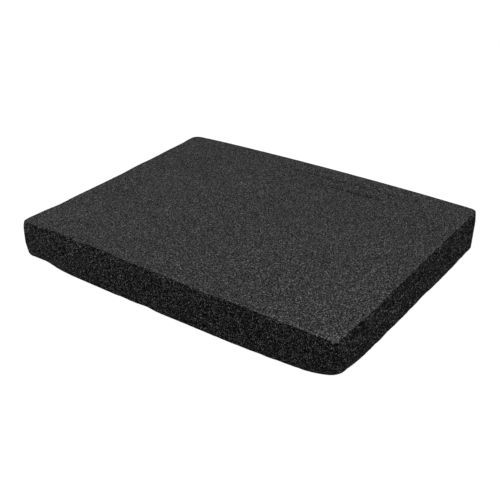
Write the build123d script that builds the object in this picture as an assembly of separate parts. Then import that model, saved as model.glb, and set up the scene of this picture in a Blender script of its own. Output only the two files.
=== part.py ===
from build123d import *
import os

# A slab of open-cell foam cut from sheet: two flat skived faces joined by sawn walls.
# X runs along the length, Y from the front to the back, Z up. The origin lies under
# the middle of the slab, on the plane that it rests on.

# Driving dimensions, mm
length = 250.0                    # front rim, from corner to corner
width = 197.2                     # right rim, from corner to corner
thickness = 30.0

# Out-of-square cutting: how far each rim corner stands off a true rectangle
front_left_setback = 0.6          # towards the back
back_left_setback = 3.9           # towards the front
back_left_flare = 0.6             # out to the left

# The saw's wander along a side, at its middle
back_bulge = 3.8                  # out beyond the line between the back corners
left_hollow = 2.6                 # in behind the line between the left corners

# How far each base corner is drawn in under its rim corner, along X and along Y.
# The front left one stands out a little past its rim corner along X.
front_left_draw_x = -3.0
front_left_draw_y = 6.4
front_right_draw_x = 3.9
front_right_draw_y = 7.3
back_right_draw_x = 0.7
back_right_draw_y = 0.5
back_left_draw_x = 0.8
back_left_draw_y = 0.8

# How late a corner's draw comes, from the rim down: its share at a height is the
# depth below the rim, over the thickness, to this power
front_left_draw_power = 4.0
front_right_draw_power = 2.5
back_right_draw_power = 2.5
back_left_draw_power = 2.0

# Corner radii in plan, at the rim and at the base
front_left_rim_radius = 2.0
front_right_rim_radius = 2.0
back_right_rim_radius = 5.0
back_left_rim_radius = 8.0
front_left_base_radius = 3.8
front_right_base_radius = 11.3
back_right_base_radius = 5.0
back_left_base_radius = 9.0

# Edge rounding, seen in a cut through a wall
rim_edge_radius = 0.6
base_edge_radius = 1.8

# An edge can't be rounded by more than this share of the tightest corner it passes
edge_share_of_corner = 0.5

# Stations along half a side, from its middle to its corner, that its curve passes
half_side_stations = (0.0, 0.5, 0.75, 1.0)

# Where the sections lie, as shares of the thickness, closer together near the base
section_heights = (0.0, 0.15, 0.4, 0.7, 1.0)

# Corners and sides run anticlockwise, seen from above. The first corner is the front
# left one, and the first side is the front one, which starts there.
rim_corners = (
    Vector(-length / 2, -width / 2 + front_left_setback),
    Vector(length / 2, -width / 2),
    Vector(length / 2, width / 2),
    Vector(-length / 2 - back_left_flare, width / 2 - back_left_setback),
)
corner_draws = (
    Vector(front_left_draw_x, front_left_draw_y),
    Vector(-front_right_draw_x, front_right_draw_y),
    Vector(-back_right_draw_x, -back_right_draw_y),
    Vector(back_left_draw_x, -back_left_draw_y),
)
draw_powers = (
    front_left_draw_power,
    front_right_draw_power,
    back_right_draw_power,
    back_left_draw_power,
)
rim_radii = (
    front_left_rim_radius,
    front_right_rim_radius,
    back_right_rim_radius,
    back_left_rim_radius,
)
base_radii = (
    front_left_base_radius,
    front_right_base_radius,
    back_right_base_radius,
    back_left_base_radius,
)
side_bulges = (0.0, 0.0, back_bulge, -left_hollow)
corner_count = len(rim_corners)


def side_curve(index, shares):
    """One side from its corner to the next, as a curve through its stations.

    It bulges as a shallow parabola. Each corner's draw fades towards the middle as
    the fourth power of the distance, so the middle stays plumb under the rim.
    """
    following = (index + 1) % corner_count
    start = rim_corners[index]
    end = rim_corners[following]
    outward = (end - start).normalized().rotate(Axis.Z, -90)
    stations = [-s for s in half_side_stations[:0:-1]] + list(half_side_stations)
    points = []
    for s in stations:
        on_chord = start * ((1 - s) / 2) + end * ((1 + s) / 2)
        bulge = outward * (side_bulges[index] * (1 - s**2))
        corner = index if s < 0 else following
        draw = corner_draws[corner] * shares[corner]
        points.append(on_chord + bulge + draw * s**4)
    return Spline(*points)


def outline(height):
    """The slab's outline at a height: four sides joined by tangent corner curves.

    Each corner has a share, from 0 at the rim to 1 at the base. It sets how much of
    the corner's draw is taken, and where its radius lies between rim and base.
    """
    shares = [(1 - height / thickness) ** power for power in draw_powers]
    radii = [
        rim + (base - rim) * share
        for rim, base, share in zip(rim_radii, base_radii, shares)
    ]
    sides = []
    for index in range(corner_count):
        side = side_curve(index, shares)
        start_trim = radii[index] / side.length
        end_trim = radii[(index + 1) % corner_count] / side.length
        sides.append(side.trim(start_trim, 1 - end_trim))
    edges = []
    for index, side in enumerate(sides):
        after = sides[(index + 1) % corner_count]
        corner = Spline(side @ 1, after @ 0, tangents=[side % 1, after % 0])
        edges += [side, corner]
    return Pos(0, 0, height) * Wire(edges)


def make_foam_mat():
    """The slab: walls plumb at the rim that curve in under it to the base corners."""
    sections = [outline(thickness * share) for share in section_heights]
    slab = Solid.make_loft(sections)

    base_edges = slab.faces().sort_by(Axis.Z)[0].edges()
    slab = slab.fillet(
        min(base_edge_radius, edge_share_of_corner * min(base_radii)),
        base_edges,
    )
    rim_edges = slab.faces().sort_by(Axis.Z)[-1].edges()
    slab = slab.fillet(
        min(rim_edge_radius, edge_share_of_corner * min(rim_radii)),
        rim_edges,
    )

    middle = slab.bounding_box().center()
    return Pos(-middle.X, -middle.Y, 0) * slab


foam_mat = make_foam_mat()
foam_mat.label = "foam_mat"

os.makedirs("parts", exist_ok=True)
export_step(foam_mat, "parts/foam_mat.step")

size = foam_mat.bounding_box().size
print(f"foam_mat {size.X:.1f} x {size.Y:.1f} x {size.Z:.1f} mm")
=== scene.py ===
from math import log, radians

import bpy
import numpy as np
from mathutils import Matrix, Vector


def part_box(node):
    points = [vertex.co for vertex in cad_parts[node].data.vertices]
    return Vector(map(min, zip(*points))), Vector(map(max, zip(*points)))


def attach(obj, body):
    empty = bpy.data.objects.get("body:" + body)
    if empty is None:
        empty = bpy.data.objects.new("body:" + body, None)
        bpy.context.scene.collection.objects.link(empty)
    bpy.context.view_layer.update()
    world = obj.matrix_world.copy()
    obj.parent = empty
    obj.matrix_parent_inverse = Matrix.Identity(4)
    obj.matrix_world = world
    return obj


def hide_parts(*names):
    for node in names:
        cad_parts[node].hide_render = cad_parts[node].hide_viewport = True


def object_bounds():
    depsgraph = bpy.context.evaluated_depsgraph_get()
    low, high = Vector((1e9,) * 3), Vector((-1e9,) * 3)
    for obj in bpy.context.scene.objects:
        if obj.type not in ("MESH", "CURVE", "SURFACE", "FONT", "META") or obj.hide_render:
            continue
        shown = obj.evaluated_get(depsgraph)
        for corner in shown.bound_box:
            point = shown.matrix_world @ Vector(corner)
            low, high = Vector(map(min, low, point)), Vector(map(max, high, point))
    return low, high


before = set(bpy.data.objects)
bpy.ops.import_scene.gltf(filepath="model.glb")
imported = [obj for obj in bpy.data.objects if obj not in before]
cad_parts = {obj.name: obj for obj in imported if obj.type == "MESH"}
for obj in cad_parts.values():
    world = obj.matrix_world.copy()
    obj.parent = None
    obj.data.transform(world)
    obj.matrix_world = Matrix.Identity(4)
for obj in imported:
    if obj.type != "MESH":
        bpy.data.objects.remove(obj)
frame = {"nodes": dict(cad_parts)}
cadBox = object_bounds()
print("frame:", ", ".join(frame["nodes"]))

mm = 0.001                    # in metres

tableRows = 65536             # rows of the random table, a power of two
keyFactors = (73856093, 19349663, 83492791)   # large primes, one for each axis


def latticeRandom(cells, count, seed):
    # Random rows for whole-number cells: the cell's three numbers, each times its prime,
    # are mixed into one key, and the key picks a row of a seeded table.
    table = np.random.default_rng(seed).random((tableRows, count))
    x, y, z = (cells[..., axis] * factor for axis, factor in enumerate(keyFactors))
    return table[(x ^ y ^ z) & (tableRows - 1)]


def valueNoise(points, size, seed):
    # Smooth noise from -1 to 1: random values at the corners of cubes of this size,
    # blended across each cube with the fade t*t*(3 - 2t) along every axis.
    scaled = points / size
    cell = np.floor(scaled).astype(np.int64)
    part = scaled - cell
    fade = part * part * (3 - 2 * part)
    total = np.zeros(points.shape[:-1])
    for corner in np.ndindex(2, 2, 2):
        weight = np.prod(np.where(np.array(corner) == 1, fade, 1 - fade), axis=-1)
        total += weight * latticeRandom(cell + np.array(corner), 1, seed)[..., 0]
    return 2 * total - 1


def cellNoise(points, size, seed):
    # Foam cells: every cube of this size holds one random point. Gives the distance to
    # the nearest one, in cube sizes, and a random number that belongs to that cell.
    scaled = points / size
    cell = np.floor(scaled).astype(np.int64)
    nearest = np.full(points.shape[:-1], np.inf)
    tone = np.zeros(points.shape[:-1])
    for step in np.ndindex(3, 3, 3):
        neighbour = cell + np.array(step) - 1
        draw = latticeRandom(neighbour, 4, seed)
        gap = np.linalg.norm(neighbour + draw[..., :3] - scaled, axis=-1)
        closer = gap < nearest
        nearest = np.where(closer, gap, nearest)
        tone = np.where(closer, draw[..., 3], tone)
    return nearest, tone


slabShape = {
    "longCells": 100,         # coarse cells of the flat faces, along X
    "shortCells": 80,         # and along Y
    "wallSplit": 4,           # wall columns for each coarse cell
    "wallRows": 44,           # rows between the two rounded edges
    "baseRound": 1.8 * mm,    # height of the rounded base edge, and its rows
    "baseRows": 5,
    "rimRound": 0.6 * mm,     # the same at the rim
    "rimRows": 3,
    "rimBand": 1.6 * mm,      # width of the band that joins a wall to a flat face
    # the saw's waves: length, depth and seed, and their share of that depth at the rim
    "sawWaves": (
        (45 * mm, 0.22 * mm, 11),
        (13 * mm, 0.19 * mm, 12),
        (5 * mm, 0.16 * mm, 13),
    ),
    "rimShare": 0.40,
    "upright": 0.35,          # how fast the waves change with height, against along the wall
    # the saw's slips and torn places: the spot in mm, how far it reaches along the wall
    # and up it, and how far it stands out
    "slips": (
        ((-90, -99, 30), 17, 13, -1.9),     # front rim, from left to right
        ((-52, -99, 30), 20, 13, -1.5),
        ((-12, -99, 30), 18, 13, -0.4),
        ((32, -99, 30), 14, 9, 0.7),
        ((80, -99, 30), 28, 10, -0.2),
        ((126, -62, 30), 14, 10, 1.3),      # right rim
        ((126, -24, 30), 24, 10, 0.5),
        ((126, -84, 30), 8, 8, 0.4),
        ((126, 74, 30), 34, 12, -0.5),
        ((125, 97, 30), 4, 4, -0.6),
        ((126, 95, 22), 8, 8, 0.3),
        ((-124, -98, 10), 8, 10, 0.5),      # front left corner
        ((-124, -99, 30), 4, 3, -1.0),
        ((-125, -93, 2), 5, 5, 1.1),
        ((-108, -96, 0), 9, 6, -1.2),       # foot of the front wall, from left to right
        ((-78, -98, 0), 14, 6, 0.35),
        ((-34, -98, 0), 5, 6, -0.6),
        ((-14, -98, 0), 6, 6, -0.9),
        ((74, -98, 0), 4, 6, -0.3),
        ((82, -98, 0), 5, 6, 0.25),
        ((86, -98, 0), 6, 6, -0.3),
        ((116, -94, 0), 5, 7, -0.6),        # foot of the right wall, from front to back
        ((124, -81, 0), 4, 6, -0.5),
        ((125, -36, 0), 6, 6, -0.3),
        ((125, 17, 0), 10, 7, -0.45),
        ((125, 64, 0), 7, 7, 0.3),
        ((125, 84, 0), 6, 8, -0.3),
        ((-122, -65, 30), 9, 8, -0.9),      # left rim, from front to back
        ((-122, 18, 30), 11, 8, 0.6),
        ((-123, 73, 30), 9, 8, -0.6),
        ((-117, 95, 30), 12, 8, -0.6),
    ),
    "pitSize": 1.3 * mm,      # open cells in the sawn walls
    "pitDepth": 0.10 * mm,
    "pitSeed": 21,
    "pitReach": 0.62,         # radius of a bowl, in cells
    "pitClosed": 0.35,        # share of the cells that stayed closed
    "pitShallow": 0.4,        # depth of a bowl whose number is 0, over one whose number is 1
    "fluffSize": 0.62 * mm,   # torn cell walls
    "fluffDepth": 0.08 * mm,
    "fluffSeed": 22,
    # slight waves of the flat faces: length, depth and seed
    "faceWaves": ((34 * mm, 0.08 * mm, 31), (7 * mm, 0.04 * mm, 32)),
}


def wallSection(corners, height, shape):
    # The frame's slab cut level at a height. A triangle edge from a to b meets the cut
    # at a + (b - a)(height - az)/(bz - az). The hits are put in order round the middle.
    # A corner is the hit furthest along its diagonal, and every side, from corner to
    # corner, gets equal steps along its length.
    a = corners.reshape(-1, 3)
    b = np.roll(corners, -1, axis=1).reshape(-1, 3)
    hit = (a[:, 2] > height) != (b[:, 2] > height)
    a, b = a[hit], b[hit]
    share = ((height - a[:, 2]) / (b[:, 2] - a[:, 2]))[:, None]
    loop = (a + (b - a) * share)[:, :2]
    loop = loop[np.argsort(np.arctan2(loop[:, 1], loop[:, 0]))]
    reach = np.abs(loop).max(axis=0)
    starts = [int(np.argmax(loop / reach @ np.array(way)))
              for way in ((-1, -1), (1, -1), (1, 1), (-1, 1))]
    loop = np.roll(loop, -starts[0], axis=0)
    marks = [(start - starts[0]) % len(loop) for start in starts] + [len(loop)]
    loop = np.vstack([loop, loop[:1]])
    rows = []
    for side in range(4):
        piece = loop[marks[side]:marks[side + 1] + 1]
        run = np.append(0, np.cumsum(np.linalg.norm(np.diff(piece, axis=0), axis=1)))
        cells = shape["longCells"] if side % 2 == 0 else shape["shortCells"]
        at = np.linspace(0, run[-1], cells * shape["wallSplit"] + 1)[:-1]
        rows.append(np.stack([np.interp(at, run, piece[:, axis]) for axis in (0, 1)], axis=1))
    return np.vstack(rows)


def perimeter(shape):
    # Wall columns all the way round: two long sides and two short ones
    return 2 * (shape["longCells"] + shape["shortCells"]) * shape["wallSplit"]


def wallGrid(shape):
    # The walls as a grid: sections of the frame's slab, stacked from the base to the
    # rim. The rows lie close together on the rounded edges, as 1 - cos of equal angles.
    solid = frame["nodes"]["foam_mat"].data
    solid.calc_loop_triangles()
    spots = np.empty(len(solid.vertices) * 3)
    solid.vertices.foreach_get("co", spots)
    index = np.empty(len(solid.loop_triangles) * 3, dtype=np.int32)
    solid.loop_triangles.foreach_get("vertices", index)
    corners = spots.reshape(-1, 3)[index].reshape(-1, 3, 3)
    low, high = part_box("foam_mat")[0][2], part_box("foam_mat")[1][2]
    hair = 0.01 * mm          # keeps the end cuts off the flat faces
    baseTurn = 1 - np.cos(np.linspace(0, np.pi / 2, shape["baseRows"] + 1))
    rimTurn = 1 - np.cos(np.linspace(np.pi / 2, 0, shape["rimRows"] + 1))
    heights = np.concatenate([
        low + hair + shape["baseRound"] * baseTurn[:-1],
        np.linspace(low + shape["baseRound"], high - shape["rimRound"], shape["wallRows"] + 1),
        high - hair - shape["rimRound"] * rimTurn[1:],
    ])
    grid = np.stack([
        np.column_stack([wallSection(corners, height, shape), np.full(perimeter(shape), height)])
        for height in heights
    ])
    grid[0, :, 2] = low
    grid[-1, :, 2] = high
    print("walls:", len(heights), "sections of", perimeter(shape), "points")
    return grid


def outward(grid):
    # Level unit vectors out of the walls: the way (x, y) along the outline, turned right
    # to (y, -x)
    along = np.roll(grid, -1, axis=1) - np.roll(grid, 1, axis=1)
    out = np.stack([along[..., 1], -along[..., 0], np.zeros(along.shape[:2])], axis=-1)
    return out / np.linalg.norm(out, axis=-1, keepdims=True)


def sawnWalls(grid, shape):
    # Every wall point moves level, square to the outline, by the saw's waves, which grow
    # towards the base, and by its slips: each is out * exp(-distance^2), with the
    # distance in reaches.
    rise = grid[..., 2] / grid[..., 2].max()
    push = np.zeros(grid.shape[:2])
    for size, depth, seed in shape["sawWaves"]:
        wave = valueNoise(grid * np.array([1, 1, shape["upright"]]), size, seed)
        push += depth * wave * (1 + (shape["rimShare"] - 1) * rise)
    for spot, along, up, out in shape["slips"]:
        away = (grid / mm - np.array(spot)) / np.array([along, along, up])
        push += out * mm * np.exp(-(away ** 2).sum(axis=-1))
    return grid + outward(grid) * push[..., None]


def openWalls(grid, shape):
    # The cells that the saw opened: each is a bowl of depth 1 - distance^2, deeper the
    # higher the cell's own random number is. The torn cell walls stand proud as noise.
    gap, tone = cellNoise(grid, shape["pitSize"], shape["pitSeed"])
    bowl = np.clip(1 - (gap / shape["pitReach"]) ** 2, 0, 1) * (tone > shape["pitClosed"])
    bowl *= shape["pitShallow"] + (1 - shape["pitShallow"]) * tone
    push = shape["fluffDepth"] * valueNoise(grid, shape["fluffSize"], shape["fluffSeed"])
    push -= shape["pitDepth"] * bowl
    return grid + outward(grid) * push[..., None]


def flatFace(ring, lift, shape):
    # A flat face inside its ring of coarse outline points: the four sides are blended
    # across as a Coons patch, both pairs of sides added and the corners' blend taken off.
    # Its slight waves are times lift, 1 on the top and 0 on the underside.
    nx, ny = shape["longCells"], shape["shortCells"]
    span = np.abs(ring[:, :2]).max(axis=0)
    inner = ring.copy()
    inner[:, :2] *= 1 - shape["rimBand"] / span
    loop = np.vstack([inner, inner[:1]])
    front = loop[:nx + 1]
    right = loop[nx:nx + ny + 1]
    back = loop[nx + ny:2 * nx + ny + 1][::-1]
    left = loop[2 * nx + ny:][::-1]
    u = np.linspace(0, 1, nx + 1)[:, None, None]
    v = np.linspace(0, 1, ny + 1)[None, :, None]
    face = (1 - v) * front[:, None] + v * back[:, None] + (1 - u) * left[None] + u * right[None]
    face -= (1 - u) * (1 - v) * front[0] + u * (1 - v) * front[-1]
    face -= (1 - u) * v * back[0] + u * v * back[-1]
    for size, depth, seed in shape["faceWaves"]:
        face[..., 2] += lift * depth * valueNoise(face, size, seed)
    return face


def faceRing(start, shape):
    # Vertex numbers of a flat face as a grid, and round its border, anticlockwise from
    # its front left: start + x * (shortCells + 1) + y.
    nx, ny = shape["longCells"], shape["shortCells"]
    number = start + np.arange((nx + 1) * (ny + 1)).reshape(nx + 1, ny + 1)
    front, right, back, left = number[:-1, 0], number[-1, :-1], number[:0:-1, -1], number[0, :0:-1]
    return number, np.concatenate([front, right, back, left])


mapPlan = {
    "scale": 2.44,                              # share of the map's side for each metre
    "top": (0.005, 0.005),                      # lower left corner of each flat face
    "underside": (0.005, 0.505),
    "walls": (0.645, 0.735, 0.825, 0.915),      # left edge of each wall's upright strip
    "foot": 0.005,                              # lower edge of the strips
}


def wallMap(grid, shape):
    # The walls opened flat on the map, four corners for each face: up the map runs the
    # way along the side, and across it the way up the wall's profile.
    around = np.concatenate([grid, grid[:, :1]], axis=1)
    steps = np.linalg.norm(np.diff(around, axis=1), axis=-1).mean(axis=0)
    climb = np.linalg.norm(np.diff(grid, axis=0), axis=-1).mean(axis=1)
    columns = np.array([shape["longCells"], shape["shortCells"]] * 2) * shape["wallSplit"]
    side = np.repeat(np.arange(4), columns)
    end = np.cumsum(steps)
    start = end - steps
    corner = start[np.searchsorted(side, side)]
    size = (len(climb), len(steps))
    left, right = np.broadcast_to(start - corner, size), np.broadcast_to(end - corner, size)
    up = np.append(0, np.cumsum(climb))[:, None]
    low, high = np.broadcast_to(up[:-1], size), np.broadcast_to(up[1:], size)
    across = np.stack([low, low, high, high], axis=-1) * mapPlan["scale"]
    along = np.stack([left, right, right, left], axis=-1) * mapPlan["scale"]
    strip = np.array(mapPlan["walls"])[side][:, None]
    return np.stack([strip + across, mapPlan["foot"] + along], axis=-1).reshape(-1, 2)


def slabMesh(shape):
    # Wall grid, a band of many-sided faces that takes wallSplit fine edges to one coarse
    # edge, and the coarse grid of each flat face, all sharing their border vertices.
    smooth = sawnWalls(wallGrid(shape), shape)
    wall = openWalls(smooth, shape)
    split, total = shape["wallSplit"], perimeter(shape)
    top = flatFace(smooth[-1, ::split], 1, shape)
    base = flatFace(smooth[0, ::split], 0, shape)
    spots = np.vstack([wall.reshape(-1, 3), top.reshape(-1, 3), base.reshape(-1, 3)])

    number = np.arange(wall.shape[0] * total).reshape(wall.shape[0], total)
    ahead = np.roll(number, -1, axis=1)
    wallFaces = np.stack([number[:-1], ahead[:-1], ahead[1:], number[1:]], axis=-1)
    faces = wallFaces.reshape(-1, 4).tolist()
    uv = [wallMap(smooth, shape)]
    firstTop = number.size
    firstBase = firstTop + top.size // 3
    for row, start, name in ((number[-1], firstTop, "top"), (number[0], firstBase, "underside")):
        inner, ring = faceRing(start, shape)
        fine = np.append(row, row[0])
        coarse = np.arange(0, total, split)
        outer = fine[coarse[:, None] + np.arange(split + 1)]
        band = np.column_stack([outer, np.roll(ring, -1), ring])
        quads = np.stack([inner[:-1, :-1], inner[1:, :-1], inner[1:, 1:], inner[:-1, 1:]], axis=-1)
        for group in (band, quads.reshape(-1, 4)):
            group = group if name == "top" else group[:, ::-1]
            faces += group.tolist()
            flat = spots[group.ravel(), :2] - spots.min(axis=0)[:2]
            uv.append(np.array(mapPlan[name]) + mapPlan["scale"] * flat)

    mesh = bpy.data.meshes.new("foamSlab")
    mesh.from_pydata(spots, [], faces)
    mesh.shade_smooth()
    mesh.uv_layers.new(name="OFBake").data.foreach_set("uv", np.vstack(uv).ravel())
    # 1 at the rim, and 0 on the flat faces and from a band's width below the rim
    below = smooth[-1, 0, 2] - smooth[..., 2]
    nearRim = np.zeros(len(spots))
    nearRim[:number.size] = np.clip(1 - below / shape["rimBand"], 0, 1).ravel()
    mesh.attributes.new("rim", "FLOAT", "POINT").data.foreach_set("value", nearRim)
    print("slab:", len(spots), "points,", len(faces), "faces")
    return mesh


class Wire:
    # A socket in an expression: a + b, 1 - a and so on add Math nodes to its tree.
    def __init__(self, nodes, socket):
        self.nodes = nodes
        self.socket = socket

    def math(self, operation, first, second):
        return self.nodes.add("ShaderNodeMath", {"operation": operation}, {0: first, 1: second})

    def __add__(self, other):
        return self.math("ADD", self, other)

    def __sub__(self, other):
        return self.math("SUBTRACT", self, other)

    def __rsub__(self, other):
        return self.math("SUBTRACT", other, self)

    def __mul__(self, other):
        return self.math("MULTIPLY", self, other)

    def __truediv__(self, other):
        return self.math("DIVIDE", self, other)

    def __rpow__(self, other):
        return self.math("POWER", other, self)

    __radd__ = __add__
    __rmul__ = __mul__


class Nodes:
    # One node tree. add() takes a node's type, its settings, which are set first, and
    # what its sockets hold, and gives the socket that is asked for.
    def __init__(self, owner):
        owner.use_nodes = True
        self.tree = owner.node_tree
        self.tree.nodes.clear()

    def add(self, kind, settings=None, sockets=None, out=0):
        node = self.tree.nodes.new(kind)
        for key, value in (settings or {}).items():
            setattr(node, key, value)
        for key, value in (sockets or {}).items():
            if isinstance(value, Wire):
                self.tree.links.new(value.socket, node.inputs[key])
            else:
                node.inputs[key].default_value = value
        return Wire(self, node.outputs[out])

    def show(self, surface, kind="ShaderNodeOutputMaterial"):
        # Ends the tree in its output node
        self.tree.links.new(surface.socket, self.tree.nodes.new(kind).inputs["Surface"])

    def step(self, value, low, high):
        # 0 below low, 1 above high, and a smooth step between them
        return self.add("ShaderNodeMapRange", {"interpolation_type": "SMOOTHSTEP"},
                        {"Value": value, "From Min": low, "From Max": high})

    def attribute(self, name):
        # A number that the mesh keeps at each point
        return self.add("ShaderNodeAttribute", {"attribute_name": name}, {}, "Fac")

    def stretched(self, place, scale):
        # The place times the scale, axis by axis
        return self.add("ShaderNodeVectorMath", {"operation": "MULTIPLY"}, {0: place, 1: scale})

    def noise(self, place, size, detail=0.0):
        # Noise from -0.5 to 0.5
        return self.add("ShaderNodeTexNoise", {},
                        {"Vector": place, "Scale": 1 / size, "Detail": detail}) - 0.5

    def crumbs(self, place, size, contrast):
        # Cells of random tone: contrast to the power of a random number from 0 to 1, the
        # red of a cell's colour, over its mean (contrast - 1)/ln(contrast), so that the
        # mean tone is 1
        cells = self.add("ShaderNodeTexVoronoi", {}, {"Vector": place, "Scale": 1 / size}, "Color")
        random = self.add("ShaderNodeSeparateColor", {}, {"Color": cells})
        return contrast ** random * (log(contrast) / (contrast - 1))

    def gap(self, place, size, loose):
        # The way to the nearest cell's middle, in cells
        return self.add("ShaderNodeTexVoronoi", {},
                        {"Vector": place, "Scale": 1 / size, "Randomness": loose}, "Distance")

    def between(self, place, start, end):
        # From 0 at the start to 1 at the end: (place - start).(end - start)/|end - start|^2
        way = Vector(end) - Vector(start)
        along = self.add("ShaderNodeVectorMath", {"operation": "DOT_PRODUCT"},
                         {0: place, 1: way}, "Value")
        return (along - Vector(start).dot(way)) / way.length_squared

    def oval(self, place, spot, reach, turn):
        # 1 at the spot, and falls evenly to 0 at the edge of an oval: sizes in mm, turned
        # in degrees
        local = self.add("ShaderNodeMapping", {"vector_type": "TEXTURE"},
                         {"Vector": place,
                          "Location": [mm * part for part in spot],
                          "Rotation": (0, 0, radians(turn)),
                          "Scale": [mm * part for part in reach]})
        return self.add("ShaderNodeTexGradient", {"gradient_type": "SPHERICAL"},
                        {"Vector": local}, "Fac")

    def mixed(self, share, first, second):
        # first * (1 - share) + second * share
        return self.add("ShaderNodeMix", {"data_type": "FLOAT"},
                        {"Factor": share, "A": first, "B": second})


foamFinish = {
    "cell": 1.05 * mm,        # the foam's cells, and how loosely they lie: 0 is a lattice
    "loose": 0.85,
    "meanGap": 0.53,          # mean way from a cell's middle, in cells
    "grain": 0.4 * mm,        # fine grain: its size, layers of detail and strength
    "grainDetail": 1.0,
    "grainShare": 1.0,
    "blotch": 13 * mm,        # broad blotches, the same
    "blotchDetail": 2.0,
    "blotchShare": 0.09,

    "skinTone": 0.0584,       # mean colour of the skived faces
    "skinPitShade": 2.7,         # painted shade in the hollows: how much darker a cell's middle is than its walls
    "skinCrumb": 0.5 * mm,    # crumbs of torn cell wall, and brightest over darkest
    "skinCrumbs": 11,
    "cutTone": 0.0232,        # the same four for the sawn walls, where the brightest crumbs are partly painted glints
    "cutPitShade": 2.5,
    "cutCrumb": 0.52 * mm,
    "cutCrumbsAndGlints": 4000,
    "cutStretch": (1.60, 0.60, 1.0),          # their cells are shorter on X and longer on Y

    # the skived faces turn smoother, and darker with painted shade, from the rough end, at the
    # front right, to the smooth one, at the back left, which also sets the rim's painted highlight
    # and shade: both are in metres
    "smoothShadedEnd": (-0.13, 0.10, 0.03),
    "roughLitEnd": (0.13, -0.10, 0.03),
    "smoothShare": 0.8,       # cell depth there, over that halfway
    "shadeShare": 0.92,        # painted shade: tone there, over that halfway
    "backRimShade": -0.45,        # painted light on the rim at the smooth end, as a share brighter: below 0, painted shade
    "frontRimHighlight": 0.20,        # and at the rough end, a painted highlight
    "rimLightRange": (0.1, 0.5),  # the rim's painted highlight and shade starts and is full at these shares of the rim band

    # marks on the faces: where, in mm, how far they reach and degrees of turn, the size
    # of one stroke, how many there are, from 0 to 1, and how much lighter than the face
    "marks": (
        # two broken scores
        {"spot": (16, 82.6, 30), "reach": (84, 1.4, 9), "turn": 1.0,
         "stroke": (2.6, 4.0, 9), "share": 0.50, "gain": -0.56},
        {"spot": (50, 71.3, 30), "reach": (56, 1.4, 9), "turn": 1.5,
         "stroke": (2.6, 4.0, 9), "share": 0.50, "gain": -0.56},
        # small dashes round them
        {"spot": (20, 72, 30), "reach": (60, 12, 9), "turn": 0,
         "stroke": (6.0, 0.9, 9), "share": 0.34, "gain": -0.35},
        # streaks near the left rim
        {"spot": (-102, -28, 30), "reach": (16, 16, 9), "turn": 0,
         "stroke": (0.9, 6.0, 9), "share": 0.40, "gain": -0.3},
        # pale strokes at the near corner: painted highlight on torn fibres
        {"spot": (122, -95, 30), "reach": (7, 6, 9), "turn": 0,
         "stroke": (0.8, 2.5, 9), "share": 0.45, "gain": 0.5},
    ),
    "strokeEdge": 0.1,        # softness of a stroke's edge, as a share of the noise
    "markEdge": 0.4,          # and of the end of a group of marks
    # loose fibres: where, half length and half width in mm, degrees of turn, and gain
    "fibres": (
        {"spot": (26, -36, 30), "reach": (2.2, 0.6, 2), "turn": 15, "gain": 1.2},
        {"spot": (82.5, -38, 30), "reach": (3.0, 0.6, 2), "turn": -30, "gain": 1.3},
        {"spot": (86.5, -41, 30), "reach": (2.2, 0.6, 2), "turn": -50, "gain": 1.3},
    ),
    "fibreEdge": 0.5,         # softness of a fibre's edge

    "rimSkin": (0.16 * mm, 0.08 * mm),        # under the top, the skin begins and is full here
    "baseSkin": (0.05 * mm, 0.15 * mm),       # over the base, the skin is full and ends here
    "ragged": 0.2 * mm,       # how far the skin's edge wanders
    "footShadeTone": 0.55,         # painted shade at the foot: tone of the base edge over the wall's
    "footShadeRange": (0.6 * mm, 2.4 * mm),        # the painted shade is full and ends at these heights

    "toneRange": (0.0005, 0.5),               # darkest and brightest colour allowed
    "relief": 0.25 * mm,      # bump: its depth, strength and share of the pattern
    "reliefStrength": 0.5,
    "reliefShare": 0.3,
    "roughness": 0.9,         # mean roughness, and how far the grain swings it
    "roughSwing": 0.2,
    "specular": 0.03,         # foam has next to no shine
    "ior": 1.4,
}


def skinPattern(n, place, noise, grain, finish):
    # Skived faces, where the blade left closed and open cells side by side: crumbs times cells,
    # whose middles get painted shade, times grain, times painted shade that falls towards the
    # smooth end, times the rim's painted highlight and shade and the marks, plus the fibres. It
    # swings round 1.
    roughLit = n.between(place, finish["smoothShadedEnd"], finish["roughLitEnd"])
    depth = finish["smoothShare"] + (1 - finish["smoothShare"]) * 2 * roughLit
    # a cell's middle gets painted shade, as in a hollow
    wayOff = n.gap(place, finish["cell"], finish["loose"]) - finish["meanGap"]
    skin = n.crumbs(place, finish["skinCrumb"], finish["skinCrumbs"])
    skin = skin * (1 + finish["skinPitShade"] * depth * wayOff) * grain
    # painted shade: the tone falls towards the smooth end
    skin = skin * (finish["shadeShare"] + (1 - finish["shadeShare"]) * 2 * roughLit)
    # painted highlight on the rim at the rough end, painted shade on it at the smooth end
    rimLightShade = finish["backRimShade"] + (finish["frontRimHighlight"] - finish["backRimShade"]) * roughLit
    skin = skin * (1 + rimLightShade * n.step(n.attribute("rim") + noise, *finish["rimLightRange"]))
    for mark in finish["marks"]:
        lattice = n.stretched(place, [1 / (length * mm) for length in mark["stroke"]])
        sparse = 0.5 - mark["share"]
        strokes = n.step(n.noise(lattice, 1.0), sparse - finish["strokeEdge"], sparse)
        spread = n.oval(place, mark["spot"], mark["reach"], mark["turn"])
        skin = skin * (1 + mark["gain"] * strokes * n.step(spread, 0.0, finish["markEdge"]))
    for fibre in finish["fibres"]:
        spread = n.oval(place, fibre["spot"], fibre["reach"], fibre["turn"])
        skin = skin + fibre["gain"] * n.step(spread, 0.0, finish["fibreEdge"])
    return skin


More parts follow.
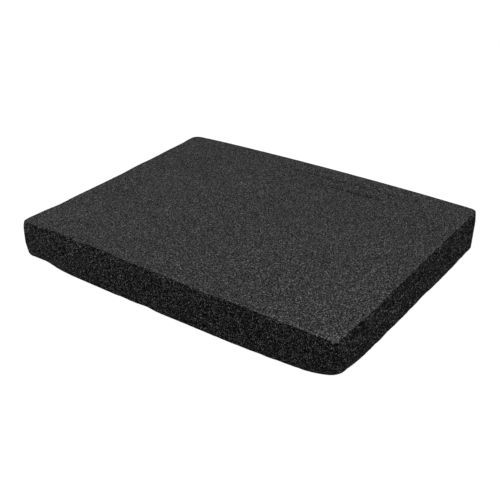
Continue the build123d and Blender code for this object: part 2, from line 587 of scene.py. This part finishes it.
def cutPattern(n, place, height, grain, finish):
    # Sawn walls, open cells with painted shade in their middles and torn cell walls whose brightest
    # crumbs are partly painted glints: crumbs times cells times grain, darker at the foot with
    # painted shade. It swings round 1.
    drawn = n.stretched(place, finish["cutStretch"])
    # a cell's middle gets painted shade, as in a hollow
    wayOff = n.gap(drawn, finish["cell"], finish["loose"]) - finish["meanGap"]
    # random crumbs of torn cell wall, the brightest of them partly painted glints
    cut = n.crumbs(drawn, finish["cutCrumb"], finish["cutCrumbsAndGlints"])
    cut = cut * (1 + finish["cutPitShade"] * wayOff) * grain
    # painted shade at the foot of the walls
    foot = n.step(height, *finish["footShadeRange"])
    return cut * (finish["footShadeTone"] + (1 - finish["footShadeTone"]) * foot)


def foamMaterial(finish):
    # Base colour is the mean tone times the pattern of the skin, or of the sawn walls,
    # and a mask that is 1 on the skin picks between them. The same patterns are the bump.
    # Both hold the grain, which is fine noise times broad blotches and swings round 1.
    material = bpy.data.materials.new("charcoalFoam")
    n = Nodes(material)
    place = n.add("ShaderNodeTexCoord", {}, {}, "Object")
    height = n.add("ShaderNodeSeparateXYZ", {}, {"Vector": place}, "Z")
    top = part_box("foam_mat")[1][2]
    noise = n.noise(place, finish["grain"], finish["grainDetail"])
    blotch = n.noise(place, finish["blotch"], finish["blotchDetail"])
    grain = (1 + finish["grainShare"] * noise) * (1 + 2 * finish["blotchShare"] * blotch)
    skin = skinPattern(n, place, noise, grain, finish)
    cut = cutPattern(n, place, height, grain, finish)

    ragged = height + finish["ragged"] * noise
    rimSkin = n.step(ragged, *[top - under for under in finish["rimSkin"]])
    skinMask = rimSkin + (1 - n.step(ragged, *finish["baseSkin"]))
    tone = n.mixed(skinMask, finish["cutTone"] * cut, finish["skinTone"] * skin)
    darkest, brightest = finish["toneRange"]
    tone = n.add("ShaderNodeClamp", {}, {"Value": tone, "Min": darkest, "Max": brightest})
    colour = n.add("ShaderNodeCombineColor", {}, {0: tone, 1: tone, 2: tone})
    bump = n.mixed(skinMask, finish["reliefShare"] * cut, finish["reliefShare"] * skin)
    normal = n.add("ShaderNodeBump", {}, {"Strength": finish["reliefStrength"],
                                          "Distance": finish["relief"], "Height": bump})
    n.show(n.add("ShaderNodeBsdfPrincipled", {},
                 {"Base Color": colour,
                  "Roughness": finish["roughness"] + finish["roughSwing"] * noise,
                  "Normal": normal,
                  "Specular IOR Level": finish["specular"],
                  "IOR": finish["ior"]}, "BSDF"))
    return material


foamSlab = bpy.data.objects.new("foamSlab", slabMesh(slabShape))
bpy.context.scene.collection.objects.link(foamSlab)
foamSlab.data.materials.append(foamMaterial(foamFinish))
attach(foamSlab, "root")
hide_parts("foam_mat")
print("finish:", foamSlab.data.materials[0].name)


studio = {
    "azimuth": 35.276,        # where the camera stands, degrees round from the front
    "elevation": 29.257,      # and degrees up
    "distance": 0.60692,      # metres from the middle of the mat
    "lens": 62.07,            # millimetres
    "aside": -1.633 * mm,     # how far the camera looks past the middle of the mat
    "above": -11.58 * mm,
    "nearest": 10 * mm,       # nearest thing that the camera sees
    "lamps": (
        # place and size in metres, power in watts
        ((0.20, -0.30, 1.20), 0.9, 4.1),
        ((1.00, -0.05, 0.50), 0.6, 1.6),
        ((-0.45, -0.42, 0.20), 0.2, 1.2),
    ),
    "floorHalf": 3.0,         # half the floor's side
    "floorDrop": 0.05 * mm,   # how far it lies under the mat
    "floorTone": 0.75,        # colour of the pale card that light meets
    "floorGlow": 1.08,        # strength of the white that is seen on it, and its share
    "glowShare": 0.9,
    "sky": 0.46,              # strength of the light all round, and of the white behind
    "backdrop": 1.0,
}


def addCamera(plan):
    # The camera looks along its own -Z. It stands at the middle of the mat's box plus
    # (aside, above, distance), turned by its elevation and azimuth.
    lowest, highest = Vector(cadBox[0]), Vector(cadBox[1])
    camera = bpy.data.objects.new("camera", bpy.data.cameras.new("camera"))
    camera.data.lens = plan["lens"]
    camera.data.clip_start = plan["nearest"]
    camera.rotation_euler = (radians(90 - plan["elevation"]), 0, radians(plan["azimuth"]))
    turn = camera.rotation_euler.to_matrix()
    offset = turn @ Vector((plan["aside"], plan["above"], plan["distance"]))
    camera.location = (lowest + highest) / 2 + offset
    bpy.context.scene.collection.objects.link(camera)
    bpy.context.scene.camera = camera
    print("camera:", plan["lens"], "mm lens")


def addLamps(plan):
    # Square soft boxes, each turned to the origin
    for number, (spot, size, power) in enumerate(plan["lamps"]):
        lamp = bpy.data.lights.new(f"softbox{number}", "AREA")
        lamp.size = size
        lamp.energy = power
        holder = bpy.data.objects.new(lamp.name, lamp)
        holder.location = spot
        holder.rotation_euler = (-Vector(spot)).to_track_quat("-Z", "Y").to_euler()
        bpy.context.scene.collection.objects.link(holder)
    print("lamps:", len(plan["lamps"]))


def seenDirectly(n):
    # 1 for what the camera sees, straight or in a gloss or through glass
    return (n.add("ShaderNodeLightPath", {}, {}, "Is Camera Ray")
            + n.add("ShaderNodeLightPath", {}, {}, "Is Glossy Ray")
            + n.add("ShaderNodeLightPath", {}, {}, "Is Transmission Ray"))


def addFloor(plan):
    # A square a hair under the mat, so that the two faces don't lie in one plane. Light
    # meets a pale card, the camera sees it mixed with white, and from below it is clear,
    # so that the underside can be looked at.
    half, low = plan["floorHalf"], -plan["floorDrop"]
    corners = [(-half, -half, low), (half, -half, low), (half, half, low), (-half, half, low)]
    mesh = bpy.data.meshes.new("floor")
    mesh.from_pydata(corners, [], [(0, 1, 2, 3)])
    floor = bpy.data.objects.new("floor", mesh)
    bpy.context.scene.collection.objects.link(floor)
    material = bpy.data.materials.new("paleFloor")
    n = Nodes(material)
    card = n.add("ShaderNodeBsdfDiffuse", {}, {"Color": (plan["floorTone"],) * 3 + (1,)})
    glow = n.add("ShaderNodeEmission", {}, {"Color": (1, 1, 1, 1), "Strength": plan["floorGlow"]})
    white = n.add("ShaderNodeMixShader", {}, {0: plan["glowShare"], 1: card, 2: glow})
    above = n.add("ShaderNodeMixShader", {}, {0: seenDirectly(n), 1: card, 2: white})
    clear = n.add("ShaderNodeBsdfTransparent")
    fromBelow = n.add("ShaderNodeNewGeometry", {}, {}, "Backfacing")
    n.show(n.add("ShaderNodeMixShader", {}, {0: fromBelow, 1: above, 2: clear}))
    mesh.materials.append(material)
    print("floor:", 2 * half, "m square")


def addSky(plan):
    # Soft light from all round, and white where the camera sees it
    world = bpy.data.worlds.new("studio")
    n = Nodes(world)
    soft = n.add("ShaderNodeBackground", {}, {"Color": (1, 1, 1, 1), "Strength": plan["sky"]})
    white = n.add("ShaderNodeBackground", {}, {"Color": (1, 1, 1, 1), "Strength": plan["backdrop"]})
    both = n.add("ShaderNodeMixShader", {}, {0: seenDirectly(n), 1: soft, 2: white})
    n.show(both, "ShaderNodeOutputWorld")
    bpy.context.scene.world = world
    print("sky:", plan["sky"])


addCamera(studio)
addLamps(studio)
addFloor(studio)
addSky(studio)
bpy.context.scene.view_settings.view_transform = "Standard"
